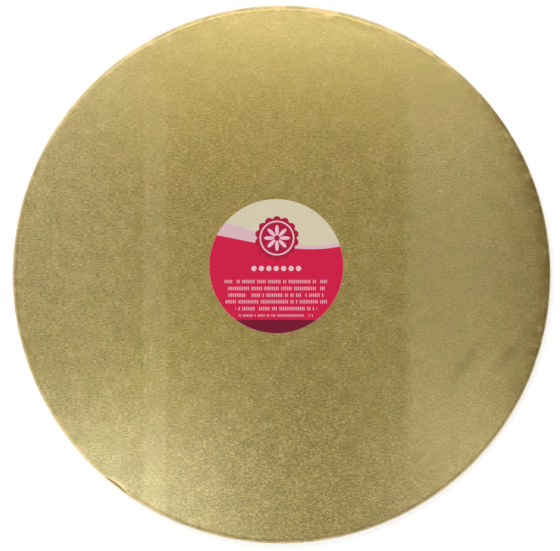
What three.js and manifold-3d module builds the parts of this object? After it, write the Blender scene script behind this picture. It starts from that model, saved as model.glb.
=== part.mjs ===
// A thick round cake board, the kind sold as a drum, lying on its back with its foil face up.
// A stiff core of two crossed plies of corrugated board is wrapped in one sheet of embossed
// gold foil paper. The sheet is turned over the rim and under the core, where its spare
// fullness is laid in knife pleats, and a paper disc glued below covers the hem's cut edge.
// A round paper label is stuck on the foil, a little off centre.
// Sizes are millimetres, +Z is up, and the origin is the middle of the underside.
import * as THREE from "three";
import { mergeGeometries, mergeVertices } from "three/addons/utils/BufferGeometryUtils.js";
import Module from "manifold-3d";

const wasm = await Module();
wasm.setup();

// The wrapped board
const boardRadius = 152.5;
const upperEdgeRadius = 2.6;
const lowerEdgeRadius = 2.0;
const glueLine = 0.05;

// The foil paper and its hem
const foilThickness = 0.15;
const hemWidth = 20;
const pleatCount = 64;
const pleatStep = 0.4;
const pleatSlope = 1.2;
const pleatRiseOnWall = 0.12;

// The backing disc
const backingThickness = 0.3;
const backingInset = 5;
const backingRamp = 4;
const hemToRamp = 1;

// The corrugated plies
const plyCount = 2;
const linerThickness = 0.3;
const fluteHeight = 4.8;
const flutePaper = 0.3;
const flutePitch = 8.6;
const crestShare = 1 / 6;

// The label, and where its middle lies on the face
const labelRadius = 38;
const labelThickness = 0.15;
const labelAt = new THREE.Vector2(-3, 4.6);
const plainMargin = 10;

// The pinched fold in the rim, and the pleat that stands proud of the outline
const pinchAngle = THREE.MathUtils.degToRad(231.8);
const pinchHalfLength = 6.8;
const pinchDepth = 1.5;
const pinchHeight = 0.95;
const pinchBelowFace = 0.25;
const pinchInFromRim = 0.85;
const proudAngle = THREE.MathUtils.degToRad(56.4);
const proudHalfAngle = THREE.MathUtils.degToRad(1.9);
const proudRise = 0.6;

// How finely round forms are stepped
const stationsPerPleat = 3;
const wrapStations = pleatCount * stationsPerPleat;
const innerStations = 96;
const coreStations = innerStations / 2;
const upperArcSteps = 4;
const lowerArcSteps = 3;
const crushedEdgeSteps = 1;
const labelStations = 72;
const grooveStations = 24;
const weldDistance = 1e-4;
const overcut = 5;

// Heights that follow from the stack, from the underside upwards
const pleatLayers = 2 * foilThickness;
const hemHeight = backingThickness + glueLine + pleatLayers;
const coreBottom = hemHeight + foilThickness + glueLine;
const plyThickness = fluteHeight + 2 * linerThickness;
const coreTop = coreBottom + plyCount * plyThickness + (plyCount - 1) * glueLine;
const faceHeight = coreTop + glueLine + foilThickness;
const hemCutRadius = boardRadius - hemWidth;
const plainRingRadius = labelRadius + labelAt.length() + plainMargin;

// The finishes
const goldFoil = new THREE.MeshStandardMaterial({ color: 0xb39c5c, roughness: 0.42, metalness: 0.85 });
const whitePaper = new THREE.MeshStandardMaterial({ color: 0xeeebe3, roughness: 0.85, metalness: 0 });
const kraftBoard = new THREE.MeshStandardMaterial({ color: 0xb08a5b, roughness: 0.9, metalness: 0 });
const labelPaper = new THREE.MeshStandardMaterial({ color: 0xc72549, roughness: 0.45, metalness: 0 });

// A closed geometry as a solid that can be joined and cut
function solidOf(geometry) {
  const bare = geometry.clone();
  bare.deleteAttribute("normal");
  bare.deleteAttribute("uv");
  const merged = mergeVertices(bare, weldDistance);
  return new wasm.Manifold(
    new wasm.Mesh({
      numProp: 3,
      vertProperties: new Float32Array(merged.attributes.position.array),
      triVerts: new Uint32Array(merged.index.array),
    }),
  );
}

// A cut solid as a geometry again
function geometryOf(solid) {
  const cut = solid.getMesh();
  const geometry = new THREE.BufferGeometry();
  geometry.setAttribute("position", new THREE.BufferAttribute(cut.vertProperties, 3));
  geometry.setIndex(new THREE.BufferAttribute(cut.triVerts, 1));
  geometry.computeVertexNormals();
  return geometry;
}

// One row of a section: where it lies, which way is out, and whether pleats cross it
function row(radius, height, outward, pleated = false) {
  return { radius, height, outward, pleated };
}

// A quarter round of the section, from its start angle downwards
function arcRows(middleRadius, middleHeight, edgeRadius, startAngle, steps, pleated) {
  const rows = [];
  for (let step = 0; step <= steps; step++) {
    const angle = startAngle - (step / steps) * (Math.PI / 2);
    const outward = new THREE.Vector2(Math.cos(angle), Math.sin(angle));
    const radius = middleRadius + edgeRadius * outward.x;
    rows.push(row(radius, middleHeight + edgeRadius * outward.y, outward, pleated));
  }
  return rows;
}

// The section of everything inside the wrap by the inset: over the face, round the rim and under
function wrapRows(inset, upperSteps, lowerSteps) {
  const up = new THREE.Vector2(0, 1);
  const down = new THREE.Vector2(0, -1);
  const upperMiddle = faceHeight - upperEdgeRadius;
  const lowerMiddle = hemHeight + lowerEdgeRadius;
  const upperArc = upperEdgeRadius - inset;
  const lowerArc = lowerEdgeRadius - inset;
  return [
    row(0, faceHeight - inset, up),
    row(plainRingRadius, faceHeight - inset, up),
    ...arcRows(boardRadius - upperEdgeRadius, upperMiddle, upperArc, Math.PI / 2, upperSteps, false),
    ...arcRows(boardRadius - lowerEdgeRadius, lowerMiddle, lowerArc, 0, lowerSteps, true),
    row(hemCutRadius, hemHeight + inset, down, true),
  ];
}

// How deep a pleat has to be at each row: the paper's own circle there, whose radius is its run
// from the middle of the face, is longer than the ring it lies in, and a fold takes up double
function foldDepths(rows) {
  let run = 0;
  return rows.map((each, index) => {
    const before = rows[Math.max(index - 1, 0)];
    run += Math.hypot(each.radius - before.radius, each.height - before.height);
    return (Math.PI * (run - each.radius)) / pleatCount;
  });
}

// A round solid from section rows
function turned(rows, stations) {
  const outline = rows.map((each) => new THREE.Vector2(each.radius, each.height));
  const geometry = new THREE.LatheGeometry(outline.reverse(), stations);
  return geometry.rotateX(Math.PI / 2);
}

// The same with every vertex moved to where its pleat puts it
function turnedAndPleated(rows) {
  const geometry = turned(rows, wrapStations);
  const depths = foldDepths(rows);
  const position = geometry.attributes.position;
  for (let index = 0; index < position.count; index++) {
    const station = Math.floor(index / rows.length) % wrapStations;
    const rowNumber = rows.length - 1 - (index % rows.length);
    const evenAngle = (station / wrapStations) * Math.PI * 2;
    if (rows[rowNumber].radius > 0) {
      const moved = foldedPoint(rows[rowNumber], station, evenAngle, depths[rowNumber]);
      position.setXYZ(
        index,
        moved.radius * Math.cos(moved.angle),
        moved.radius * Math.sin(moved.angle),
        moved.height,
      );
    }
  }
  return geometry;
}

// Knife pleats: at each, the sheet steps up onto its own two spare layers and slopes back down.
// Stations 0, 1 and 2 of a pleat are the foot of the fold, its crest and the end of the slope.
function foldedPoint(each, station, evenAngle, foldDepth) {
  const part = station % stationsPerPleat;
  const foot = evenAngle - (part / wrapStations) * Math.PI * 2;
  const across = [0, pleatStep, foldDepth + pleatSlope][part] / each.radius;
  const angle = each.pleated ? foot + across : evenAngle;
  const folded = each.pleated && part === 1;
  const crest = folded ? THREE.MathUtils.lerp(pleatRiseOnWall, pleatLayers, hemShare(each)) : 0;
  const proud = proudFold(each, angle);
  return {
    radius: each.radius + each.outward.x * (crest + proud),
    height: each.height + each.outward.y * crest,
    angle,
  };
}

// 1 where the section faces down onto the backing, 0 on the wall and above
function hemShare(each) {
  return Math.max(0, -each.outward.y);
}

// The one pleat that stands out of the round outline
function proudFold(each, angle) {
  const away = Math.abs(angle - proudAngle) / proudHalfAngle;
  return away < 1 ? proudRise * (1 - away) * Math.max(0, each.outward.x) : 0;
}

// The groove of the pinched fold, an ellipsoid laid along the rim and grown by the given amount
function pinchGroove(grow) {
  const groove = new THREE.SphereGeometry(1, grooveStations, grooveStations / 2);
  groove.scale(pinchDepth + grow, pinchHalfLength + grow, pinchHeight + grow);
  groove.translate(boardRadius - pinchInFromRim, 0, faceHeight - pinchBelowFace);
  groove.rotateZ(pinchAngle);
  return solidOf(groove);
}

// The foil paper: its pleated outside less the space that the core fills
function foilGeometry() {
  const outside = wrapRows(0, upperArcSteps, lowerArcSteps);
  outside.push(row(0, hemHeight));
  const inside = wrapRows(foilThickness, upperArcSteps, lowerArcSteps);
  const throughHem = hemHeight - pleatLayers - overcut;
  inside.push(row(hemCutRadius, throughHem), row(0, throughHem));
  const space = solidOf(turned(inside, innerStations)).subtract(pinchGroove(foilThickness));
  const solid = solidOf(turnedAndPleated(outside)).subtract(pinchGroove(0));
  return geometryOf(solid.subtract(space));
}

// Everything inside the foil, before it is sliced into plies
function coreSolid() {
  const inset = foilThickness + glueLine;
  const rows = wrapRows(inset, crushedEdgeSteps, crushedEdgeSteps);
  rows.push(row(0, hemHeight + inset));
  return solidOf(turned(rows, coreStations)).subtract(pinchGroove(inset));
}

// Half the width of an open flute at a height above the liner that closes its narrow side
function fluteHalfWidth(height) {
  const crestHalf = (flutePitch * crestShare) / 2;
  const run = flutePitch / 2 - 2 * crestHalf;
  const rise = fluteHeight - flutePaper;
  const wallHalf = (flutePaper / 2) * (Math.hypot(run, rise) / rise);
  return crestHalf + ((height - flutePaper / 2) * run) / rise - wallHalf;
}

// The open flutes of one ply as prisms along Y, wide side up and wide side down by turns
function fluteSpaces(plyBottom) {
  const low = fluteHalfWidth(flutePaper);
  const high = fluteHalfWidth(fluteHeight);
  const length = 2 * (boardRadius + overcut);
  const crushedRadius = boardRadius - Math.max(upperEdgeRadius, lowerEdgeRadius) - flutePitch / 2;
  const fluteReach = Math.floor(crushedRadius / (flutePitch / 2));
  const spaces = [];
  for (let n = -fluteReach; n <= fluteReach; n++) {
    const middle = (n * flutePitch) / 2;
    const opensUp = n % 2 === 0;
    const narrow = opensUp ? flutePaper : fluteHeight - flutePaper;
    const wide = opensUp ? fluteHeight : 0;
    const section = new THREE.Shape([
      new THREE.Vector2(-low, narrow),
      new THREE.Vector2(low, narrow),
      new THREE.Vector2(high, wide),
      new THREE.Vector2(-high, wide),
    ]);
    const space = new THREE.ExtrudeGeometry(section, { depth: length, bevelEnabled: false });
    space.rotateX(Math.PI / 2);
    space.translate(middle, length / 2, plyBottom + linerThickness);
    spaces.push(space);
  }
  return mergeGeometries(spaces);
}

// One ply of corrugated board: its slice of the core, with its flutes open from rim to rim
function plyGeometry(core, number) {
  const bottom = coreBottom + number * (plyThickness + glueLine);
  const sliceBottom = number === 0 ? bottom - overcut : bottom;
  const sliceTop = number === plyCount - 1 ? bottom + plyThickness + overcut : bottom + plyThickness;
  const side = 2 * (boardRadius + overcut);
  const slice = new THREE.BoxGeometry(side, side, sliceTop - sliceBottom);
  slice.translate(0, 0, (sliceTop + sliceBottom) / 2);
  const flutes = fluteSpaces(bottom);
  const crossed = number % 2 === 1;
  if (crossed) flutes.rotateZ(Math.PI / 2);
  return geometryOf(core.intersect(solidOf(slice)).subtract(solidOf(flutes)));
}

// The backing disc, glued to the core in the middle and lying over the hem at its edge
function backingGeometry() {
  const middleTop = hemHeight + foilThickness;
  const outerRadius = boardRadius - backingInset;
  const rampOuter = hemCutRadius - hemToRamp;
  const rampInner = rampOuter - backingRamp;
  const rows = [
    row(0, middleTop),
    row(rampInner, middleTop),
    row(rampOuter, backingThickness),
    row(outerRadius, backingThickness),
    row(outerRadius, 0),
    row(rampOuter, 0),
    row(rampInner, middleTop - backingThickness),
    row(0, middleTop - backingThickness),
  ];
  return turned(rows, innerStations);
}

// The round label
function labelGeometry() {
  const disc = new THREE.CylinderGeometry(labelRadius, labelRadius, labelThickness, labelStations);
  return disc.rotateX(Math.PI / 2);
}

function named(name, geometry, material) {
  const mesh = new THREE.Mesh(geometry, material);
  mesh.name = name;
  return mesh;
}

const board = new THREE.Group();
const core = coreSolid();
for (let number = 0; number < plyCount; number++) {
  board.add(named(`core_ply_${number + 1}`, plyGeometry(core, number), kraftBoard));
}
board.add(named("foil_wrap", foilGeometry(), goldFoil));
board.add(named("backing_paper", backingGeometry(), whitePaper));

const label = named("round_label", labelGeometry(), labelPaper);
label.position.set(labelAt.x, labelAt.y, faceHeight + glueLine + labelThickness / 2);
board.add(label);

export default board;
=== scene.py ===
# %% [markdown]
# # A round cake board wrapped in gold foil
#
# The real thing is a stiff corrugated core in one sheet of embossed gold foil paper. The sheet is
# drawn over the face, round the rim and under, where it lies in small pleats, and a paper disc
# covers its cut edge. A round label is stuck on the face. The construction is packed in the
# frame, and this script gives each surface the shape and finish that the eye expects: foil that
# is never quite flat, a rim with small creases, one pinched fold, and a label printed in plain
# fields of colour.

import bpy
import numpy as np
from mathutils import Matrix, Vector


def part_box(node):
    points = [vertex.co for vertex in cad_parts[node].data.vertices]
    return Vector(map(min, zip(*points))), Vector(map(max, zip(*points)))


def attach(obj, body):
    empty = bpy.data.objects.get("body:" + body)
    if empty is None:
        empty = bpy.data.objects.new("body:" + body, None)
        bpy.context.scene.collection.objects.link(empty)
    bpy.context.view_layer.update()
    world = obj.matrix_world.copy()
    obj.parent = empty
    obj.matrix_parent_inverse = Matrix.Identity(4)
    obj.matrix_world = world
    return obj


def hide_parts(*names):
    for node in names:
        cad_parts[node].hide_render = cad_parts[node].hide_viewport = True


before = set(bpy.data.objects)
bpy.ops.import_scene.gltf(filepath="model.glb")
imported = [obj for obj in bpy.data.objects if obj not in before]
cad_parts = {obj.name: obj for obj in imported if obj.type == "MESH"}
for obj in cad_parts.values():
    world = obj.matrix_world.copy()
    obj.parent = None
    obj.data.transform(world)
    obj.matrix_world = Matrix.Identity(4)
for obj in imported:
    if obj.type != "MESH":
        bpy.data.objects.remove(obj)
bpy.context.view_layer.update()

# %% [markdown]
# ## Sizes
#
# Blender works in metres here, and a foil board is easier to think of in millimetres, so every
# size is written as millimetres times MM. What the frame holds is read from its boxes. Only the
# paper's own sizes, which no box shows, are written again.

# %% Sizes of the board
MM = 0.001
FOIL = 0.15 * MM
WALL_RISE = 0.12 * MM
UPPER_EDGE = 2.6 * MM
LOWER_EDGE = 2.0 * MM
HEM_WIDTH = 20 * MM

foil_low, foil_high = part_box("foil_wrap")
BOARD = (foil_high.x - foil_low.x) / 2 - WALL_RISE
FACE = foil_high.z
PLEAT_LAYERS = 2 * FOIL
HEM = foil_low.z + PLEAT_LAYERS
HEM_CUT = BOARD - HEM_WIDTH
print("board radius", BOARD / MM, "face", FACE / MM, "hem", HEM / MM)

# %% [markdown]
# ## Camera
#
# The photograph looks straight down on the board from about three board widths away, so nothing
# of the wall shows. The distance follows from how wide the board is in the picture: the picture's
# width in pixels, times lens over sensor, is how many pixels one unit of slope takes up. The
# board's middle lies a little off the picture's middle, and the camera is moved by as much.

# %% Place the camera
PICTURE_WIDE, PICTURE_HIGH = 560, 551
BOARD_MIDDLE = (281.55, 274.5)
BOARD_RADIUS_IN_PIXELS = 268.9
LENS, SENSOR = 100, 36

WIDEST_LEVEL = FACE - UPPER_EDGE
pixels_per_slope = PICTURE_WIDE * LENS / SENSOR
camera_height = WIDEST_LEVEL + pixels_per_slope * BOARD / BOARD_RADIUS_IN_PIXELS
metres_per_pixel = BOARD / BOARD_RADIUS_IN_PIXELS

camera_data = bpy.data.cameras.new("camera")
camera_data.lens = LENS
camera_data.sensor_width = SENSOR
camera = bpy.data.objects.new("camera", camera_data)
camera.location = (
    (PICTURE_WIDE / 2 - BOARD_MIDDLE[0]) * metres_per_pixel,
    (BOARD_MIDDLE[1] - PICTURE_HIGH / 2) * metres_per_pixel,
    camera_height,
)
bpy.context.scene.collection.objects.link(camera)
bpy.context.scene.camera = camera
print("camera height in mm:", round(camera_height / MM, 1))

# %% [markdown]
# ## Shader maths
#
# A finish is mostly arithmetic on a few textures. Written as Python expressions it can be read
# like a formula: a `Wire` holds the output of one node, and adding or multiplying wires adds Math
# nodes. Every other kind of node comes from one method, `node`. `Finish` is a material built so.


# %% Wires and finishes
class Wire:
    """A number that varies over a surface. Operators on it add Math nodes."""

    def __init__(self, finish, socket):
        self.finish = finish
        self.socket = socket

    def maths(self, operation, *values):
        """Adds a Math node for one operation on numbers or wires."""
        inputs = {f"#{index}": value for index, value in enumerate(values)}
        return self.finish.node("ShaderNodeMath", {"operation": operation}, inputs)

    def __add__(self, other):
        return self.maths("ADD", self, other)

    def __sub__(self, other):
        return self.maths("SUBTRACT", self, other)

    def __rsub__(self, other):
        return self.maths("SUBTRACT", other, self)

    def __mul__(self, other):
        return self.maths("MULTIPLY", self, other)

    def __truediv__(self, other):
        return self.maths("DIVIDE", self, other)

    def __abs__(self):
        return self.maths("ABSOLUTE", self)

    __radd__ = __add__
    __rmul__ = __mul__

    def floor(self):
        return self.maths("FLOOR", self)

    def fraction(self):
        return self.maths("FRACT", self)

    def root(self):
        return self.maths("SQRT", self)

    def rise(self, start, end):
        """0 below start, 1 above end, and eased from one to the other in between."""
        settings = {"interpolation_type": "SMOOTHSTEP"}
        inputs = {"Value": self, "From Min": start, "From Max": end}
        return self.finish.node("ShaderNodeMapRange", settings, inputs)

    def least(self, other):
        return self.maths("MINIMUM", self, other)

    def most(self, other):
        return self.maths("MAXIMUM", self, other)


class Nodes:
    """A node tree that is built from wires."""

    def __init__(self, tree):
        self.tree = tree

    def feed(self, socket, value):
        """Links a wire to a socket, or sets a plain value on it."""
        if isinstance(value, Wire):
            self.tree.links.new(value.socket, socket)
        else:
            socket.default_value = value

    def node(self, kind, settings=None, inputs=None, output=0):
        """Adds a node: its settings first, then each input, named or numbered, then one output."""
        made = self.tree.nodes.new(kind)
        for name, value in (settings or {}).items():
            setattr(made, name, value)
        for name, value in (inputs or {}).items():
            key = int(name[1:]) if name.startswith("#") else name
            self.feed(made.inputs[key], value)
        return Wire(self, made.outputs[output])


class Finish(Nodes):
    """One material round a Principled shader, whose varying sockets are fed with wires."""

    def __init__(self, name, **uniform):
        self.material = bpy.data.materials.new(name)
        self.material.use_nodes = True
        super().__init__(self.material.node_tree)
        self.shader = self.tree.nodes["Principled BSDF"]
        for socket, value in uniform.items():
            self.shader.inputs[socket.replace("_", " ")].default_value = value

    def varies(self, **wires):
        """Feeds sockets of the shader with what varies over the surface."""
        for socket, wire in wires.items():
            self.feed(self.shader.inputs[socket.replace("_", " ")], wire)

    def place(self):
        """Where a point lies on the piece, in metres, as a vector."""
        return self.node("ShaderNodeTexCoord", output="Object")

    def along(self, vector, axis):
        """One of a vector's three numbers."""
        return self.node("ShaderNodeSeparateXYZ", inputs={"Vector": vector}, output=axis)

    def noise(self, vector, size, detail=0.0, roughness=0.5):
        """Cloudy noise round a half, whose clouds are about the given size."""
        inputs = {"Vector": vector, "Scale": 1 / size, "Detail": detail, "Roughness": roughness}
        return self.node("ShaderNodeTexNoise", inputs=inputs)

    def mixed(self, share, first, second):
        """The colour that goes from the first to the second as the share goes from 0 to 1."""
        settings = {"data_type": "RGBA"}
        inputs = {"#0": share, "#6": first, "#7": second}
        return self.node("ShaderNodeMix", settings, inputs, output=2)

    def bumped(self, height, distance, strength=1.0):
        """A normal that follows a height from 0 to 1, whose full step is the given distance."""
        inputs = {"Height": height, "Distance": distance, "Strength": strength}
        return self.node("ShaderNodeBump", inputs=inputs)


def colour(red, green, blue):
    """A screen colour from 0 to 255 as the linear light that Blender works in."""
    screen = np.array([red, green, blue]) / 255
    light = np.where(screen <= 0.04045, screen / 12.92, ((screen + 0.055) / 1.055) ** 2.4)
    return (*light.tolist(), 1.0)


# %% [markdown]
# ## Surfaces from numbers
#
# Every new piece here is a profile carried round the board's axis. Its points are one array with
# a row for each step of the profile and a column for each step round, so shapes are sums and
# products of whole arrays. The profile starts and ends on the axis, which closes the piece, and
# the sign of the enclosed volume says whether its faces point outwards. Edges sharper than the
# crease angle are shaded as edges, the others as one smooth surface.


# %% Turn an array of points into a closed mesh
FOIL_CREASE = np.radians(60)
PAPER_CREASE = np.radians(40)


def ease(value, start, end):
    """0 below start, 1 above end, and 3t^2 - 2t^3 of the way t between them."""
    share = np.clip((value - start) / (end - start), 0, 1)
    return share * share * (3 - 2 * share)


def around(radius, angle, height):
    """Points from a radius, an angle round the axis and a height."""
    return np.stack([radius * np.cos(angle), radius * np.sin(angle), height], axis=-1)


def closed_mesh(name, points, first_pole, last_pole, crease_angle):
    """A mesh of four-sided faces between the rows of points, with a fan to a pole at each end."""
    rows, stations = points.shape[:2]
    corners = np.concatenate([points.reshape(-1, 3), [first_pole, last_pole]])
    here = np.arange(rows * stations).reshape(rows, stations)
    beside = np.roll(here, -1, axis=1)
    walls = np.stack([here[:-1], here[1:], beside[1:], beside[:-1]], -1).reshape(-1, 4)
    first = np.stack([np.full(stations, rows * stations), here[0], beside[0]], -1)
    last = np.stack([np.full(stations, rows * stations + 1), beside[-1], here[-1]], -1)
    fans = np.concatenate([first, last])

    def spanned(triangles):
        a, b, c = (corners[triangles[:, index]] for index in range(3))
        return np.einsum("ij,ij->", a, np.cross(b, c)) / 6

    volume = spanned(fans) + spanned(walls[:, :3]) + spanned(walls[:, [0, 2, 3]])
    if volume < 0:
        walls = walls[:, ::-1]
        fans = fans[:, ::-1]
    mesh = bpy.data.meshes.new(name)
    mesh.from_pydata(corners.tolist(), [], walls.tolist() + fans.tolist())
    mesh.polygons.foreach_set("use_smooth", np.ones(len(mesh.polygons), bool))
    mesh.set_sharp_from_angle(angle=crease_angle)
    piece = bpy.data.objects.new(name, mesh)
    bpy.context.scene.collection.objects.link(piece)
    triangles = 2 * len(walls) + len(fans)
    print(name, "has", triangles, "triangles and", round(abs(volume) * 1e9, 1), "mm3")
    return piece


def finished(piece, finish, node):
    """Gives a piece its finish, lets it stand for its node and rides it on the one body."""
    piece.data.materials.append(finish.material)
    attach(piece, "root")
    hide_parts(node)
    return piece


# %% [markdown]
# ## Random shapes that come out the same each time
#
# Foil relief is random, but smooth. Random numbers from a seeded generator sit on a lattice, and
# between lattice points the value eases from one to the next. Round the rim the lattice closes on
# itself, so that the wrinkles have no seam.


# %% Smooth noise on arrays
LATTICE = 64


def cloudy(across, along, seed, closes_after=LATTICE):
    """Smooth noise from -1 to 1 at places given in lattice steps.

    Each place takes the four random numbers at the corners of its lattice cell, weighted by
    the eased distance to them. Across, the lattice repeats after the given count of steps.
    """
    lattice = np.random.default_rng(seed).uniform(-1, 1, (closes_after, LATTICE))
    column = np.floor(across).astype(int)
    line = np.floor(along).astype(int)
    right = ease(across - column, 0, 1)
    up = ease(along - line, 0, 1)

    def corner(step_across, step_along):
        return lattice[(column + step_across) % closes_after, (line + step_along) % LATTICE]

    low = corner(0, 0) * (1 - right) + corner(1, 0) * right
    high = corner(0, 1) * (1 - right) + corner(1, 1) * right
    return low * (1 - up) + high * up


# %% [markdown]
# ## The foil's section
#
# The sheet runs from the middle of the face over a rounded edge, down the wall, round the lower
# edge and inwards to where the hem is cut. Each point of the section also knows which way is out,
# so that paper thickness and pleats can be added along it. The rows are close together at the
# rim, where all the shape is, and far apart in the middle.

# %% Section rows of the wrap
FACE_ROWS = 34
UPPER_ROWS = 13
WALL_ROWS = 5
LOWER_ROWS = 6
HEM_ROWS = 6
CROWDING = 1.8


def directed(*lines):
    """Rows of radius, height, outward radius and outward height, any of which may be one number."""
    return np.stack(np.broadcast_arrays(*lines))


def rounded(radius, height, size, turn):
    """Rows on a circle round a middle, at the given turns, which face away from that middle."""
    out_radius, out_height = np.cos(turn), np.sin(turn)
    return directed(radius + size * out_radius, height + size * out_height, out_radius, out_height)


def wrap_section(inset):
    """All rows of the wrap, drawn in by the inset.

    The face's radii are R (1 - (1 - s)^crowding) for s from 0 to 1.
    """
    flat = BOARD - UPPER_EDGE
    share = np.linspace(0, 1, FACE_ROWS)[1:]
    upper = np.linspace(np.pi / 2, 0, UPPER_ROWS)[1:]
    lower = np.linspace(0, -np.pi / 2, LOWER_ROWS)
    wall_top = FACE - UPPER_EDGE
    wall_foot = HEM + LOWER_EDGE
    wall = np.linspace(wall_top, wall_foot, WALL_ROWS + 2)[1:-1]
    hem = np.linspace(BOARD - LOWER_EDGE, HEM_CUT, HEM_ROWS + 1)[1:]
    rows = [
        directed(flat * (1 - (1 - share) ** CROWDING), FACE - inset, 0, 1),
        rounded(flat, wall_top, UPPER_EDGE - inset, upper),
        directed(BOARD - inset, wall, 1, 0),
        rounded(BOARD - LOWER_EDGE, wall_foot, LOWER_EDGE - inset, lower),
        directed(hem, HEM + inset, 0, -1),
    ]
    return np.concatenate(rows, axis=1)


def run_of(section):
    """How much paper lies between the middle of the face and each row: the steps added up."""
    radius, height = section[0], section[1]
    steps = np.hypot(np.diff(radius), np.diff(height))
    return radius[0] + np.concatenate([[0], np.cumsum(steps)])


outside = wrap_section(0)
outside_run = run_of(outside)
WALL_TOP_RUN = BOARD - UPPER_EDGE + UPPER_EDGE * np.pi / 2
WALL_FOOT_RUN = WALL_TOP_RUN + FACE - UPPER_EDGE - HEM - LOWER_EDGE
print("rows of the wrap:", outside.shape[1], "paper from middle to cut:", outside_run[-1] / MM)

# %% [markdown]
# ## Pleats
#
# A flat sheet turned over a round rim has too much paper: a circle in the sheet whose radius is
# the run of paper has to lie in a ring that is smaller. The difference, shared out over the
# pleats, is what each fold takes up, half of it as depth. So the pleats need no drawing: they
# start at almost nothing on the upper edge, are 0.4 mm deep at the foot of the wall, and over two
# millimetres deep where the hem is cut. Real ones are folded by hand or by a press, so their
# spacing varies, they lean a little, and some stand out more than others.

# %% Where the pleats run
PLEATS = 64
PARTS = 14
FOLD_WIDTH = 0.25 * MM
SLOPE = 1.2 * MM
SPACING_VARIES = 0.2
LEAN = 0.1

pleat_luck = np.random.default_rng(11)
pleat_foot = np.arange(PLEATS) + pleat_luck.uniform(-SPACING_VARIES, SPACING_VARIES, PLEATS)
pleat_foot = pleat_foot * 2 * np.pi / PLEATS
pleat_lean = pleat_luck.uniform(-LEAN, LEAN, PLEATS)
pleat_strength = pleat_luck.uniform(0.8, 2.4, PLEATS)

# Eight stations follow the fold: its foot, its rise, its crest, and the slope back down. The
# fold's edge holds a thin shadow line, which is strongest at its foot.
CREST = np.array([0, 0.5, 1, 1, 1, 0.7, 0.25, 0])
FOLD_LINE = np.array([1, 1, 0.2, 0, 0, 0, 0, 0])
SLOPE_STEPS = (0.3, 0.65, 1)
FOLDED = len(CREST)


def on_each_pleat(along_fold):
    """Values of the folded stations, with zeros for the rest, repeated for every pleat."""
    return np.tile(np.append(along_fold, np.zeros(PARTS - FOLDED)), PLEATS)


def even_stations():
    """The same number of stations from each pleat's foot to the next one, evenly spread."""
    feet = np.append(pleat_foot, pleat_foot[0] + 2 * np.pi)
    return np.interp(np.arange(PLEATS * PARTS) / PARTS, np.arange(PLEATS + 1), feet)


def pleat_columns(radius, run):
    """The angle of each station on the pleated part of the wrap.

    A fold's depth is pi (run - radius) / pleats. Its stations lie at fixed distances past its
    foot, and the rest are spread evenly up to the next pleat's foot.
    """
    radius, run = radius[:, None], run[:, None]
    depth = np.pi * np.maximum(run - radius, 0) / PLEATS
    foot = pleat_foot + pleat_lean * np.maximum(run - WALL_TOP_RUN, 0) / radius
    next_foot = np.roll(foot, -1, axis=1)
    next_foot[:, -1] += 2 * np.pi
    past = [0 * depth, 0 * depth + FOLD_WIDTH / 2, 0 * depth + FOLD_WIDTH]
    past += [depth / 2 + FOLD_WIDTH, depth + FOLD_WIDTH]
    past += [depth + FOLD_WIDTH + SLOPE * share for share in SLOPE_STEPS]
    near = np.stack([foot + each / radius for each in past], axis=-1)
    share = np.arange(1, PARTS - FOLDED + 1) / (PARTS - FOLDED + 1)
    landed = near[..., -1:]
    far = landed + (next_foot[..., None] - landed) * share
    return np.concatenate([near, far], axis=-1).reshape(len(radius), -1)


# %% [markdown]
# ## The pinched fold
#
# At the lower left the foil was pinched as it was wrapped. Seen from above, a curled lip stands
# up on the face, outside it the paper dives into a short dark crease, and a thin strip closes the
# outline. Stations are crowded together there, so that the fold has enough of them.

# %% Place of the pinch and of the pleat that stands proud
PINCH_AT = np.radians(231.9)
PINCH_HALF = 7.4 * MM
CREASE_DEEPEST_IN = 2.9 * MM
CREASE_ENDS_IN = 1.6 * MM
CREASE_WIDTH = 0.6 * MM
CREASE_DEPTH = 0.4 * MM
LIP_WIDTH = 2.2 * MM
LIP_EDGE = 0.5 * MM
LIP_RISE = 0.05 * MM
PROUD_AT = np.radians(56.4)
PROUD_HALF = np.radians(1.9)
PROUD_RISE = 0.6 * MM
CROWD_HALF = np.radians(6)
CROWD_SHARE = 0.6


def from_angle(angle, centre):
    """How far an angle is from a centre, the short way round."""
    return (angle - centre + np.pi) % (2 * np.pi) - np.pi


def crowded(angle):
    """Draws stations towards the pinch: near it their distance shrinks by the crowding share."""
    away = from_angle(angle, PINCH_AT)
    return angle - away * CROWD_SHARE * np.exp(-((away / CROWD_HALF) ** 2))


def pinch(angle, run):
    """Shares of the crease and of the lip inside it, from 0 to 1.

    The crease is a ridge exp(-(distance / width)^2), where distance is how far the paper's run is
    from the crease line, which bows inwards from both ends by a parabola. The lip has the same
    form on the inner side alone, but is wider, so it rises softly and drops off at the crease.
    """
    along = from_angle(angle, PINCH_AT) * BOARD / PINCH_HALF
    bow = np.clip(1 - along**2, 0, 1)
    line = CREASE_ENDS_IN + (CREASE_DEEPEST_IN - CREASE_ENDS_IN) * bow
    inward = WALL_TOP_RUN - run - line
    crease = ease(bow, 0, 0.3) * np.exp(-((inward / CREASE_WIDTH) ** 2))
    lip = ease(bow, 0, 0.6) * np.exp(-((inward / LIP_WIDTH) ** 2)) * ease(inward, 0, LIP_EDGE)
    return crease, lip


def proud(angle):
    """One pleat that stands out of the round outline, as a small tent."""
    away = np.abs(from_angle(angle, PROUD_AT)) / PROUD_HALF
    return PROUD_RISE * np.clip(1 - away, 0, 1)


# %% [markdown]
# ## Relief of the sheet
#
# Foil paper glued to board keeps long shallow waves over the face, short creases where it bends
# over the edge, and upright wrinkles on the wall. A few longer folds run in from the rim. All of
# it is little more than a tenth of a millimetre high, yet it is what makes the sheen break up.

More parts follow.
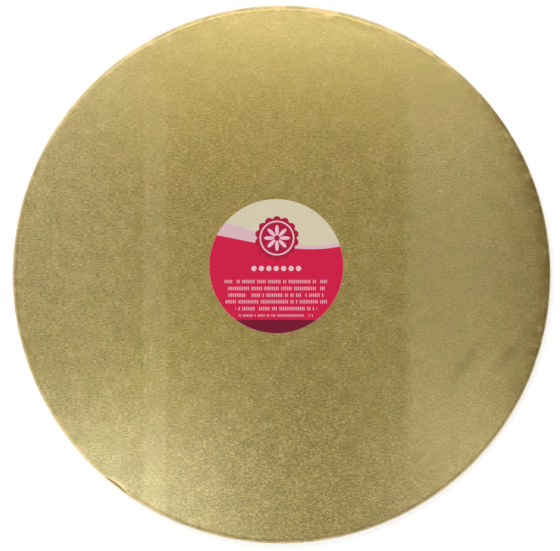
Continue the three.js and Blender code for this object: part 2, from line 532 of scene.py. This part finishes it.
# %% Relief as a function of place
WAVE_SIZE = 55 * MM
WAVE_RISE = 0.05 * MM
EDGE_CREASE = 4.2 * MM
EDGE_RISE = 0.055 * MM
WALL_CREASE = 3.1 * MM
WALL_CREASE_RISE = 0.07 * MM
LATTICE_START = 9

# Longer folds near the rim: two ends in picture pixels, half width and height in millimetres
LONG_FOLDS = [
    ((500, 300), (540, 318), 2.6, 0.09),
    ((318, 20), (344, 14), 1.6, 0.05),
    ((404, 42), (434, 56), 1.8, 0.03),
    ((352, 28), (372, 34), 1.6, -0.04),
    ((30, 350), (48, 392), 2.6, 0.06),
]


def on_board(pixel):
    """A picture pixel as a place on the face, in metres."""
    return np.array(
        [
            (pixel[0] - BOARD_MIDDLE[0]) * metres_per_pixel,
            (BOARD_MIDDLE[1] - pixel[1]) * metres_per_pixel,
        ]
    )


def long_fold(x, y, start, end, half_width, rise):
    """A soft ridge round a line: rise exp(-(distance from the line / half width)^2)."""
    start, end = on_board(start), on_board(end)
    way = end - start
    share = ((x - start[0]) * way[0] + (y - start[1]) * way[1]) / (way @ way)
    share = np.clip(share, 0, 1)
    distance = np.hypot(x - start[0] - share * way[0], y - start[1] - share * way[1])
    fade = np.sin(np.pi * (0.15 + 0.7 * share))
    return rise * fade * np.exp(-((distance / half_width) ** 2))


def face_relief(x, y):
    """Height of the foil over its flat face: two layers of waves and the longer folds."""
    across, along = x / WAVE_SIZE, y / WAVE_SIZE
    waves = cloudy(across + LATTICE_START, along + LATTICE_START, seed=3)
    small = cloudy(across * 3 + LATTICE_START, along * 3 + LATTICE_START, seed=4)
    relief = WAVE_RISE * (1.5 + waves) + WAVE_RISE * 0.25 * small
    for start, end, half_width, rise in LONG_FOLDS:
        relief = relief + long_fold(x, y, start, end, half_width * MM, rise * MM)
    return relief


def edge_creases(angle, run):
    """Short creases over the upper edge, which fade inwards and down the wall."""
    steps = round(2 * np.pi * BOARD / EDGE_CREASE)
    turn = angle / (2 * np.pi) * steps
    inward = (WALL_TOP_RUN - run) / MM
    short = cloudy(turn, inward / 5 + LATTICE_START, seed=5, closes_after=steps)
    sharp = 1 - 2 * np.abs(cloudy(turn, inward / 9 + LATTICE_START, seed=6, closes_after=steps))
    fade = ease(inward, -4, 1) * (1 - ease(inward, 3, 9))
    return EDGE_RISE * fade * (0.6 * short + 0.4 * sharp)


def wall_creases(angle, run):
    """Upright wrinkles of the wall, between the two edges."""
    steps = round(2 * np.pi * BOARD / WALL_CREASE)
    turn = angle / (2 * np.pi) * steps
    upright = cloudy(turn, run / (6 * MM), seed=7, closes_after=steps)
    fade = ease(run, WALL_TOP_RUN - 2 * MM, WALL_TOP_RUN + 2 * MM)
    return WALL_CREASE_RISE * fade * upright


# %% [markdown]
# ## The foil wrap
#
# The outer skin and the inner one are the same function, one paper thickness apart, and meet at
# the hem's cut edge. On the face the stations are spread evenly. Down the wall they gather into
# the folds, by easing from the even angle to the folded one. The inner skin of the face is never
# seen, so it has fewer rows.

# %% Build the wrap
INNER_FACE_STEP = 4
INNER_FACE_ROWS = FACE_ROWS - 9


def wrap_points(section, run):
    """Points of the wrap, and the marks of crease, lip and fold line for its finish.

    Each row is moved outwards by pleats, creases, pinch and relief, each of which fades out
    where the sheet turns away from its part.
    """
    radius, height, out_radius, out_height = (row[:, None] for row in section)
    folded = pleat_columns(section[0], run)
    run = run[:, None]
    even = crowded(even_stations())
    gather = ease(run, WALL_TOP_RUN - UPPER_EDGE, WALL_FOOT_RUN)
    angle = even * (1 - gather) + folded * gather
    under = np.maximum(-out_height, 0)
    rise = WALL_RISE * np.repeat(pleat_strength, PARTS) * (1 - under) + PLEAT_LAYERS * under
    crease, lip = pinch(angle, run)
    flat = np.maximum(out_height, 0)
    moved = on_each_pleat(CREST) * rise * gather
    moved = moved + edge_creases(angle, run) + wall_creases(angle, run) * (1 - under)
    moved = moved + LIP_RISE * lip - CREASE_DEPTH * crease
    moved = moved + face_relief(radius * np.cos(angle), radius * np.sin(angle)) * flat
    pushed = radius + out_radius * moved + proud(angle) * np.maximum(out_radius, 0)
    fold_line = on_each_pleat(FOLD_LINE) * gather
    marks = np.stack(np.broadcast_arrays(crease, lip, fold_line), axis=-1)
    return around(pushed, angle, height + out_height * moved), marks


inside = wrap_section(FOIL)
kept = np.arange(inside.shape[1])
kept = kept[(kept >= INNER_FACE_ROWS) | (kept % INNER_FACE_STEP == 0)]
outer_points, outer_marks = wrap_points(outside, outside_run)
inner_points = wrap_points(inside, outside_run)[0][kept][::-1]
middle_rise = float(face_relief(np.zeros(1), np.zeros(1))[0])
foil_piece = closed_mesh(
    "gold_foil_wrap",
    np.concatenate([outer_points, inner_points]),
    (0, 0, FACE + middle_rise),
    (0, 0, FACE + middle_rise - FOIL),
    FOIL_CREASE,
)

# The finish reads the marks of the outer skin. The inner skin and the two poles have none.
marks = np.zeros((len(foil_piece.data.vertices), 3))
marks[: outer_marks.size // 3] = outer_marks.reshape(-1, 3)
stored = foil_piece.data.attributes.new("marks", "FLOAT_VECTOR", "POINT")
stored.data.foreach_set("vector", marks.ravel())
print("crease, lip and fold line reach", marks.max(axis=0).round(2))

# %% [markdown]
# ## Gold foil finish
#
# The foil is a thin metal film on paper under clear lacquer, pressed between rollers with a fine
# grain about a millimetre wide. Metal under a coat gives the two kinds of shine: a wide saturated
# one, and a whiter one where a lamp mirrors in the lacquer. The grain is in the bump and, because
# each facet tips its light away, faintly in the colour too, as painted shade and glint. Faint
# straight bands of painted highlight run up the face. Where the sheet bends over the rim a painted
# highlight makes the film paler, on the right of the rim it is darker and browner, and a painted
# shadow line lies in each pleat.

# %% Make the foil finish
# The film's colours, as linear light
GOLD_GREEN = (0.373, 0.294, 0.046, 1)
GOLD_WARM = (0.412, 0.281, 0.059, 1)
GOLD_MIDDLE_SHADE = (0.355, 0.25, 0.028, 1)
GOLD_PALE_HIGHLIGHT = (0.39, 0.31, 0.105, 1)
GOLD_SHADE = (0.19, 0.132, 0.02, 1)
GOLD_GLINT = (0.66, 0.53, 0.22, 1)
GOLD_PEACH_HIGHLIGHT = (0.62, 0.42, 0.2, 1)
GOLD_BEND_HIGHLIGHT = (0.85, 0.66, 0.34, 1)
GOLD_RIM_BROWN = (0.2, 0.115, 0.015, 1)
GOLD_CREASE_SHADE = (0.13, 0.105, 0.035, 1)
GRAIN = 1.1 * MM
CRINKLE = 2.2 * MM
CRINKLE_SHARPNESS = 15
CRINKLED_AT = -115 * MM
CRINKLED_RADIUS = 85 * MM

foil = Finish("gold_foil", Metallic=1.0, Coat_Roughness=0.2, Coat_IOR=1.65)
place = foil.place()
x, y, z = (foil.along(place, axis) for axis in "XYZ")
from_middle = (x * x + y * y).root()


def stretched(across, along, deep):
    """The place on the foil, stretched so that noise on it is drawn out one way."""
    inputs = {"X": x * across, "Y": y * along, "Z": z * deep}
    return foil.node("ShaderNodeCombineXYZ", inputs=inputs)


def highlight_band(start, end, soft=2 * MM):
    """1 between two places across the board, with soft sides: a band of painted highlight."""
    return x.rise(start - soft, start + soft) * (1 - x.rise(end - soft, end + soft))


# Ticks lie across the roll. They show most in the middle and on the left, and least at the top.
ticks = foil.noise(stretched(0.62, 1.25, 1), GRAIN, detail=1.5, roughness=0.6)
middle = 1 - abs(x).rise(35 * MM, 100 * MM)
left = (x * -1).rise(40 * MM, 110 * MM)
tick_share = 0.98 + middle * 0.27 + left * 0.22 - y.rise(40 * MM, 130 * MM) * 0.72

# A coarser crinkle draws thin lines of painted shade where its noise crosses a half, in patches and
# low down
crinkle = foil.noise(stretched(0.8, 1.1, 1), CRINKLE, detail=2.5, roughness=0.6)
crinkle_line = (1 - abs(crinkle - 0.5) * CRINKLE_SHARPNESS).most(0)
patches = foil.noise(place, 60 * MM, detail=2).rise(0.4, 0.62)
from_crinkled = (x * x * 0.9 + (y - CRINKLED_AT) * (y - CRINKLED_AT)).root()
low_middle = 1 - (from_crinkled / CRINKLED_RADIUS).least(1)
crinkled = (patches * 0.3 + low_middle * 1.5).least(1)

# The film is greener and warmer in clouds. A painted highlight makes it paler to the left, the top
# and the bottom, and painted shade makes it deeper in the middle. On it lie the painted shade and
# the painted glint of the grain and of a coarser mottle.
tones = foil.noise(place, 14 * MM, detail=2)
base = foil.mixed(tones.rise(0.3, 0.7), GOLD_GREEN, GOLD_WARM)
pale = (x * -1).rise(10 * MM, 150 * MM) * 0.5 + abs(y).rise(40 * MM, 150 * MM) * 0.6
base = foil.mixed(pale, base, GOLD_PALE_HIGHLIGHT)
base = foil.mixed(middle * 0.45, base, GOLD_MIDDLE_SHADE)
base = foil.mixed(ticks.rise(0.52, 0.32) * tick_share * 0.57, base, GOLD_SHADE)
base = foil.mixed(ticks.rise(0.56, 0.74) * tick_share * 0.45, base, GOLD_GLINT)
mottle = foil.noise(place, 7 * MM, detail=3, roughness=0.6)
base = foil.mixed(mottle.rise(0.52, 0.3) * tick_share * 0.2, base, GOLD_SHADE)
base = foil.mixed(mottle.rise(0.5, 0.7) * tick_share * 0.12, base, GOLD_GLINT)
base = foil.mixed(crinkle_line * crinkled, base, GOLD_SHADE)

# Two bands of painted highlight run up the face, and painted shade makes the right side a little
# darker
streak = highlight_band(-78 * MM, -65 * MM, 1.5 * MM) * (1 - y.rise(70 * MM, 120 * MM))
plateau = x.rise(67 * MM, 76 * MM) * (1 - x.rise(105 * MM, 150 * MM))
plateau = plateau * (1 - abs(y + 2 * MM).rise(75 * MM, 120 * MM))
bands = streak * 0.15 + plateau * 0.26
base = foil.mixed(bands, base, GOLD_GLINT)
base = foil.mixed(x.rise(112 * MM, 152 * MM) * 0.28, base, GOLD_SHADE)


def soft_fold(start, end, half_width):
    """A soft streak along a line between two picture pixels, frayed by noise.

    It is 1 on the line and 0 past its half width, and fades towards both ends.
    """
    start, end = on_board(start), on_board(end)
    length = float(np.hypot(*(end - start)))
    way = (end - start) / length
    along = (x - start[0]) * way[0] + (y - start[1]) * way[1]
    beside = abs((x - start[0]) * way[1] - (y - start[1]) * way[0]) + fold_luck
    ends = along.rise(-0.2 * length, 0.3 * length) * (1 - along.rise(0.6 * length, 1.2 * length))
    return (1 - beside.rise(0, half_width)) * ends


# A few soft folds at the lower right are painted as darker streaks of shade with a painted
# highlight between them
fold_luck = (foil.noise(place, 7 * MM, detail=2) - 0.5) * (3 * MM)
fold_shade = soft_fold((478, 342), (446, 390), 5.5 * MM)
fold_shade = fold_shade.most(soft_fold((521, 338), (496, 372), 5.5 * MM))
fold_highlight = soft_fold((495, 352), (470, 388), 3 * MM)
base = foil.mixed(fold_shade * 0.32, base, GOLD_SHADE)
base = foil.mixed(fold_highlight * 0.14, base, GOLD_GLINT)

# Near the rim the foil has patches of painted peach highlight. Its bend has a painted highlight,
# strongest on the far side, but not on the right, where the rim is darker and browner. The pinched
# fold has a painted highlight on its lip and painted shade in its crease, and each pleat's fold has
# a painted shadow line.
peach = from_middle.rise(BOARD - 9 * MM, BOARD - 2 * MM)
peach = peach * foil.noise(place, 6 * MM, detail=2).rise(0.5, 0.66)
base = foil.mixed(peach * 0.3, base, GOLD_PEACH_HIGHLIGHT)
right_side = x.rise(90 * MM, 140 * MM) * (1 - (y * -1).rise(40 * MM, 90 * MM))
upper_edge = z.rise(FACE - 5 * MM, FACE - 2.6 * MM)
bend = from_middle.rise(BOARD - 2.8 * MM, BOARD - 1 * MM) * (1 - right_side) * upper_edge
bend = bend * (0.45 + foil.noise(place, 14 * MM, detail=2).rise(0.4, 0.65) * 0.55)
base = foil.mixed((bend * (0.55 + y.rise(30 * MM, 120 * MM) * 0.6)).least(1), base, GOLD_BEND_HIGHLIGHT)
right_rim = from_middle.rise(BOARD - 11 * MM, BOARD - 1 * MM) * right_side * upper_edge
rim_brown = right_rim * 0.75 * foil.noise(place, 5 * MM, detail=3).rise(0.25, 0.6)
base = foil.mixed(rim_brown.least(1), base, GOLD_RIM_BROWN)
marked = foil.node("ShaderNodeAttribute", {"attribute_name": "marks"}, output="Vector")
crease, lip, fold_line = (foil.along(marked, axis) for axis in "XYZ")
base = foil.mixed((lip * 0.8).least(0.5), base, GOLD_BEND_HIGHLIGHT)
base = foil.mixed(fold_line * 0.6, base, GOLD_CREASE_SHADE)
creased = crease.rise(0.2, 0.7)
base = foil.mixed(creased * 0.9, base, GOLD_CREASE_SHADE)

roughness = 0.26 + foil.noise(place, 30 * MM, detail=2) * 0.05 - bands * 0.06 + bend * 0.2
grain = ticks * tick_share + crinkle_line * crinkled * 0.4
lacquer = (1 - creased - rim_brown * 0.7 - bend * 0.7).most(0)
foil.varies(Base_Color=base, Roughness=roughness, Coat_Weight=lacquer)
foil.varies(Normal=foil.bumped(grain, 0.02 * MM))
finished(foil_piece, foil, "foil_wrap")

# %% [markdown]
# ## Kraft core
#
# Nothing of the core shows, but it is there, so it gets a plain kraft finish: brown paper with
# short fibres and cloudy patches.

# %% Make the kraft finish
kraft = Finish("kraft_board", Roughness=0.9)
place = kraft.place()
patches = kraft.noise(place, 12 * MM, detail=3)
fibres = kraft.noise(place, 0.8 * MM, detail=2)
brown = kraft.mixed(patches.rise(0.3, 0.7), colour(160, 122, 78), colour(182, 146, 100))
brown = kraft.mixed(fibres.rise(0.6, 0.8) * 0.4, brown, colour(128, 94, 58))
kraft.varies(Base_Color=brown, Normal=kraft.bumped(fibres, 0.05 * MM, 0.5))
for name in ("core_ply_1", "core_ply_2"):
    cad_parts[name].material_slots[0].material = kraft.material

# %% [markdown]
# ## Backing paper
#
# The paper disc under the board is glued down over the hem. Its outer ring lies on the pleats,
# and shows them as faint ridges, and inside the hem it steps up onto the core.

# %% Build the backing
backing_low, backing_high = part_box("backing_paper")
BACKING = (backing_high.x - backing_low.x) / 2
PAPER = 0.3 * MM
MIDDLE_RISE = backing_high.z - PAPER
RAMP_OUTER = HEM_CUT - 1 * MM
RAMP_INNER = RAMP_OUTER - 4 * MM
SAG = 0.1 * MM
UNEVENNESS = 0.02 * MM
UNEVEN_SIZE = 18 * MM
UNEVEN_START = 20

inner_rows = np.linspace(0, RAMP_INNER, 16)[1:]
ramp_rows = np.linspace(RAMP_INNER, RAMP_OUTER, 7)[1:]
ring_rows = np.linspace(RAMP_OUTER, BACKING, 8)[1:]
backing_radius = np.concatenate([inner_rows, ramp_rows, ring_rows])
backing_run = WALL_FOOT_RUN + LOWER_EDGE * np.pi / 2 + BOARD - LOWER_EDGE - backing_radius


def backing_underside():
    """Points of the backing's underside: a ring at rest, a ramp and a raised middle.

    The ring is lifted between pleats by sag times one minus the pleat's crest, and by a little
    cloudy noise, and the ramp eases from the ring to the middle.
    """
    pleated = pleat_columns(np.maximum(backing_radius, HEM_CUT), backing_run)
    even = even_stations()
    on_ring = ease(backing_radius, RAMP_INNER, RAMP_OUTER)[:, None]
    angle = even * (1 - on_ring) + pleated * on_ring
    radius = backing_radius[:, None] + 0 * angle
    x, y = radius * np.cos(angle), radius * np.sin(angle)
    across, along = x / UNEVEN_SIZE + UNEVEN_START, y / UNEVEN_SIZE + UNEVEN_START
    waves = 0.5 + 0.5 * cloudy(across, along, seed=8)
    ring = SAG * (1 - on_each_pleat(CREST)) * waves
    middle = MIDDLE_RISE + UNEVENNESS * (waves - 0.5)
    return np.stack([x, y, ring * on_ring + middle * (1 - on_ring)], -1)


underside = backing_underside()
upside = underside + np.array([0, 0, PAPER])
pole_height = underside[0, :, 2].mean()
backing_piece = closed_mesh(
    "backing_disc",
    np.concatenate([underside, upside[::-1]]),
    (0, 0, pole_height),
    (0, 0, pole_height + PAPER),
    PAPER_CREASE,
)

# %% Make the paper finish
white_paper = Finish("white_paper", Roughness=0.85)
place = white_paper.place()
mottle = white_paper.noise(place, 9 * MM, detail=4)
tone = white_paper.mixed(mottle.rise(0.3, 0.7), colour(235, 233, 226), colour(239, 237, 231))
fleck = white_paper.noise(place, 1.2 * MM, detail=2).rise(0.68, 0.75)
tone = white_paper.mixed(fleck * 0.35, tone, colour(196, 186, 168))
tooth = white_paper.noise(place, 0.5 * MM, detail=2)
white_paper.varies(Base_Color=tone, Normal=white_paper.bumped(tooth, 0.02 * MM, 0.6))
finished(backing_piece, white_paper, "backing_paper")

# %% [markdown]
# ## The label
#
# A round of coated paper, stuck a little off centre. It lies on the foil, so its height is the
# foil's own relief plus its thickness. Its edge is a clean cut.

# %% Build the label
label_low, label_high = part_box("round_label")
LABEL = (label_high.x - label_low.x) / 2
LABEL_AT = ((label_high.x + label_low.x) / 2, (label_high.y + label_low.y) / 2)
LABEL_PAPER = label_high.z - label_low.z
LABEL_STATIONS = 288

even_rows = np.linspace(0, LABEL * 0.97, 18)[1:]
label_rows = np.concatenate([even_rows, [LABEL * 0.99, LABEL - 0.04 * MM]])
turn = np.linspace(0, 2 * np.pi, LABEL_STATIONS, endpoint=False)


def label_skin(radii, lift):
    """A skin of the label at a lift over its underside, carried on the foil's relief."""
    flat = around(radii[:, None], turn[None, :], np.zeros((len(radii), LABEL_STATIONS)))
    x, y = flat[..., 0] + LABEL_AT[0], flat[..., 1] + LABEL_AT[1]
    return np.stack([x, y, label_low.z + lift + face_relief(x, y)], -1)


# The skins from the middle of the top outwards, with a small bevel at the rim, and back below
label_top = label_skin(label_rows, LABEL_PAPER)
label_rim = label_skin(np.array([LABEL]), LABEL_PAPER * 0.6)
label_foot = label_skin(np.array([LABEL]), 0)
label_under = label_skin(label_rows[:-1], 0)[::-1]
relief_at_label = float(face_relief(np.array([LABEL_AT[0]]), np.array([LABEL_AT[1]]))[0])
label_piece = closed_mesh(
    "printed_label",
    np.concatenate([label_top, label_rim, label_foot, label_under]),
    (*LABEL_AT, label_high.z + relief_at_label),
    (*LABEL_AT, label_low.z + relief_at_label),
    PAPER_CREASE,
)

# %% [markdown]
# ## Print on the label
#
# The print is fields of colour with crisp edges, each a formula of the place on the label in
# millimetres: a cream field with thin stripes above a curve, a pale band below it, a crimson
# ground, a dark field at the bottom, a scalloped round with a rosette, a row of beads, and rows of
# short upright dashes, all alike.

# %% Fields of the print
CRIMSON = colour(203, 17, 65)
CREAM = colour(214, 203, 177)
CREAM_STRIPE = colour(195, 187, 155)
PALE_PINK = colour(213, 177, 185)
MAROON = colour(114, 6, 42)
ROUND_RED = colour(169, 13, 54)
PRINT_PINK = colour(228, 184, 200)
PRINT_EDGE = 0.12
STRIPE_PITCH = 1.15
MAROON_TOP = -30.2

printed = Finish("label_print", Roughness=0.5, Specular_IOR_Level=0.14)
place = printed.place()
u = (printed.along(place, "X") - LABEL_AT[0]) / MM
v = (printed.along(place, "Y") - LABEL_AT[1]) / MM


def inside_of(distance):
    """1 where a signed distance in millimetres is below 0, with a crisp eased edge."""
    return 1 - distance.rise(-PRINT_EDGE, PRINT_EDGE)


def band(value, middle, half):
    """1 where a value is within half of the middle."""
    return inside_of(abs(value - middle) - half)


def over_curve(height, slope, bend, twist):
    """The height over a curve across the label, which is a cubic in u."""
    return v - (height + u * (u * (u * twist + bend) + slope))


cream = over_curve(15.7, -0.304, 0.0032, 0.00011)
pink = over_curve(11.3, -0.147, 0.0026, 0.00004)
stripes = inside_of(abs((u / STRIPE_PITCH).fraction() - 0.5) * STRIPE_PITCH - 0.3)
print_colour = printed.mixed(inside_of(v - MAROON_TOP), CRIMSON, MAROON)
print_colour = printed.mixed(1 - inside_of(pink), print_colour, PALE_PINK)
field = printed.mixed(stripes * 0.55, CREAM, CREAM_STRIPE)
print_colour = printed.mixed(1 - inside_of(cream), print_colour, field)

# The scalloped round and its rosette, from the angle round its middle
ROUND_AT = (0.4, 16.0)
ROUND_RADIUS = 11.0
SCALLOPS = 14
SCALLOP_DEPTH = 1.5
RING_RADIUS = 9.4
RING_HALF = 0.42
PETALS = 8
PETAL_LENGTH = 7.3
ROSETTE_EYE = 1.6
p, q = u - ROUND_AT[0], v - ROUND_AT[1]
reach = (p * p + q * q).root()
bearing = q.maths("ARCTAN2", q, p)
scallop = abs((bearing * (SCALLOPS / 2)).maths("SINE", bearing * (SCALLOPS / 2)))
petal = abs((bearing * (PETALS / 2)).maths("COSINE", bearing * (PETALS / 2)))
edge = ROUND_RADIUS + scallop * SCALLOP_DEPTH
print_colour = printed.mixed(inside_of(reach - edge), print_colour, ROUND_RED)
ring_line = band(reach, RING_RADIUS, RING_HALF)
rosette = inside_of(reach - petal * PETAL_LENGTH) * (1 - inside_of(reach - ROSETTE_EYE))
print_colour = printed.mixed(ring_line.most(rosette), print_colour, PRINT_PINK)


# %% Rows of dashes and a row of beads
def dashes(level, half_width, tall, pitch, weight, seed):
    """A row of upright dashes, all alike, with gaps where a cell's random number is low."""
    cell = (u / pitch + 0.5).floor()
    sideways = abs((u / pitch + 0.5).fraction() - 0.5) * pitch
    settings = {"noise_dimensions": "1D"}
    chance = printed.node("ShaderNodeTexWhiteNoise", settings, {"W": cell * 1.37 + seed})
    filled = chance.rise(0.15, 0.16)
    bars = inside_of(sideways - weight) * band(v, level, tall * 0.5)
    return bars * filled * inside_of(abs(u) - half_width)


BEADS_AT = -1.2
BEADS_HALF = 14.7
BEAD_PITCH = 4.2
BEAD_RADIUS = 1.45
PRINT_STRENGTH = 0.75

bead_u = ((u / BEAD_PITCH + 0.5).fraction() - 0.5) * BEAD_PITCH
bead_v = v - BEADS_AT
bead = inside_of((bead_u * bead_u + bead_v * bead_v).root() - BEAD_RADIUS)
ornament = bead * inside_of(abs(u) - BEADS_HALF)

# Each row: its level, half its width, how tall its dashes are, their pitch, half their width, and
# a seed. The last row is smaller.
rows = [
    (-8.6, 29.4, 1.9, 1.05, 0.29, 5.0),
    (-12.5, 27.4, 1.9, 1.05, 0.29, 17.0),
    (-16.3, 27.2, 1.9, 1.05, 0.29, 29.0),
    (-20.0, 28.6, 1.9, 1.05, 0.29, 43.0),
    (-23.9, 23.0, 1.9, 1.05, 0.29, 55.0),
    (-27.8, 21.2, 1.3, 0.85, 0.22, 71.0),
]
for row in rows:
    ornament = ornament.most(dashes(*row) * PRINT_STRENGTH)
print_colour = printed.mixed(ornament, print_colour, PRINT_PINK)
from_label_middle = (u * u + v * v).root()
cut_edge = from_label_middle.rise(LABEL / MM - 0.35, LABEL / MM - 0.15)
print_colour = printed.mixed(cut_edge * 0.3, print_colour, colour(226, 170, 180))
tooth = printed.noise(place, 1.1 * MM, detail=1)
printed.varies(Base_Color=print_colour, Normal=printed.bumped(tooth, 0.012 * MM, 0.6))
finished(label_piece, printed, "round_label")

# %% [markdown]
# ## Light
#
# Foil shows its surroundings, so the light is mostly a matter of where the lamps mirror. A flat
# board seen from above mirrors a point of the ceiling on the line from the camera: a lamp that
# hangs H above the face mirrors at its own place times D / (D + H), where D is how high the
# camera is. So each lamp is placed by the spot of the board that it should brighten. The room is
# a plain dome, pale at the horizon and greyer overhead, which only the camera itself sees as white.

# %% Lamps and dome
CEILING = 1.2


def lamp(name, place, size, radiance, tint=(1, 1, 1), aim=(0, 0, 0)):
    """A rectangular area lamp that looks at a point. Its power follows from its radiance."""
    data = bpy.data.lights.new(name, "AREA")
    data.shape = "RECTANGLE"
    data.size, data.size_y = size
    data.energy = radiance * np.pi * size[0] * size[1]
    data.color = tint
    made = bpy.data.objects.new(name, data)
    made.location = place
    made.rotation_euler = (Vector(aim) - Vector(place)).to_track_quat("-Z", "Y").to_euler()
    made.visible_camera = False
    bpy.context.scene.collection.objects.link(made)


def hung_lamp(name, mirrors_at, spot_size, radiance, tint=(1, 1, 1)):
    """A lamp at the ceiling that mirrors at a place on the face, as a spot of the given size."""
    camera_distance = camera_height - FACE
    widening = (camera_distance + CEILING) / camera_distance
    over = (mirrors_at[0] * widening, mirrors_at[1] * widening)
    size = (spot_size[0] * widening, spot_size[1] * widening)
    lamp(name, (*over, FACE + CEILING), size, radiance, tint, aim=(*over, 0))


hung_lamp("lamp_far", (-0.02, 0.215), (0.36, 0.12), 3.45)
hung_lamp("lamp_near_left", (-0.098, -0.143), (0.145, 0.105), 2.78, (0.9, 1, 1.05))
hung_lamp("lamp_left", (-0.15, 0.08), (0.08, 0.2), 0.65)
hung_lamp("lamp_near_right", (0.12, -0.14), (0.11, 0.1), 1.3)
lamp("panel_far", (-0.2, 1.1, 1.1), (2.2, 1.2), 0.6)
lamp("panel_near_left", (-0.95, -0.95, 0.85), (0.9, 1.3), 1.1)

# The dome is grey overhead. At the horizon it is pale on the left and darker on the right.
OVERHEAD = 0.57
world = bpy.data.worlds.new("studio")
bpy.context.scene.world = world
world.use_nodes = True
dome = Nodes(world.node_tree)
way = dome.node("ShaderNodeTexCoord", output="Generated")
sideways, skyward = (
    dome.node("ShaderNodeSeparateXYZ", inputs={"#0": way}, output=axis) for axis in "XZ"
)
horizon = 0.94 - sideways.rise(0.2, 0.9) * 0.4
level = horizon + (OVERHEAD - horizon) * skyward.rise(0.25, 0.85)
by_camera = dome.node("ShaderNodeLightPath", output="Is Camera Ray")
level = level + (1 - level) * by_camera
background = dome.tree.nodes["Background"]
dome.feed(background.inputs["Color"], (1, 1, 1, 1))
dome.feed(background.inputs["Strength"], level)

# %% [markdown]
# ## Floor
#
# The photograph's ground is pure white. The floor is a white surface with a little light of its
# own for the camera and for mirrored and transmitted rays, so that it clips to white and still
# keeps the board's soft shadow.

# %% Make the floor
FLOOR_RADIUS = 4.0
FLOOR_LEVEL = -0.02 * MM
FLOOR_CORNERS = 96
FLOOR_GLOWS_FOR = ("Camera", "Glossy", "Transmission")

ground = np.linspace(0, 2 * np.pi, FLOOR_CORNERS, endpoint=False)
floor_edge = around(FLOOR_RADIUS, ground, np.full(FLOOR_CORNERS, FLOOR_LEVEL))
floor_mesh = bpy.data.meshes.new("floor")
floor_mesh.from_pydata(floor_edge.tolist(), [], [list(range(FLOOR_CORNERS))])
floor = bpy.data.objects.new("floor", floor_mesh)
bpy.context.scene.collection.objects.link(floor)

white_floor = Finish(
    "white_floor", Base_Color=(0.9, 0.9, 0.9, 1), Roughness=0.9, Emission_Strength=0.35
)
camera_ray, glossy_ray, clear_ray = (
    white_floor.node("ShaderNodeLightPath", output=f"Is {kind} Ray") for kind in FLOOR_GLOWS_FOR
)
seen = camera_ray.most(glossy_ray).most(clear_ray)
glow = white_floor.mixed(seen, (0, 0, 0, 1), (1, 1, 1, 1))
white_floor.varies(Emission_Color=glow)
floor_mesh.materials.append(white_floor.material)

view = bpy.context.scene.view_settings
view.view_transform = "Standard"
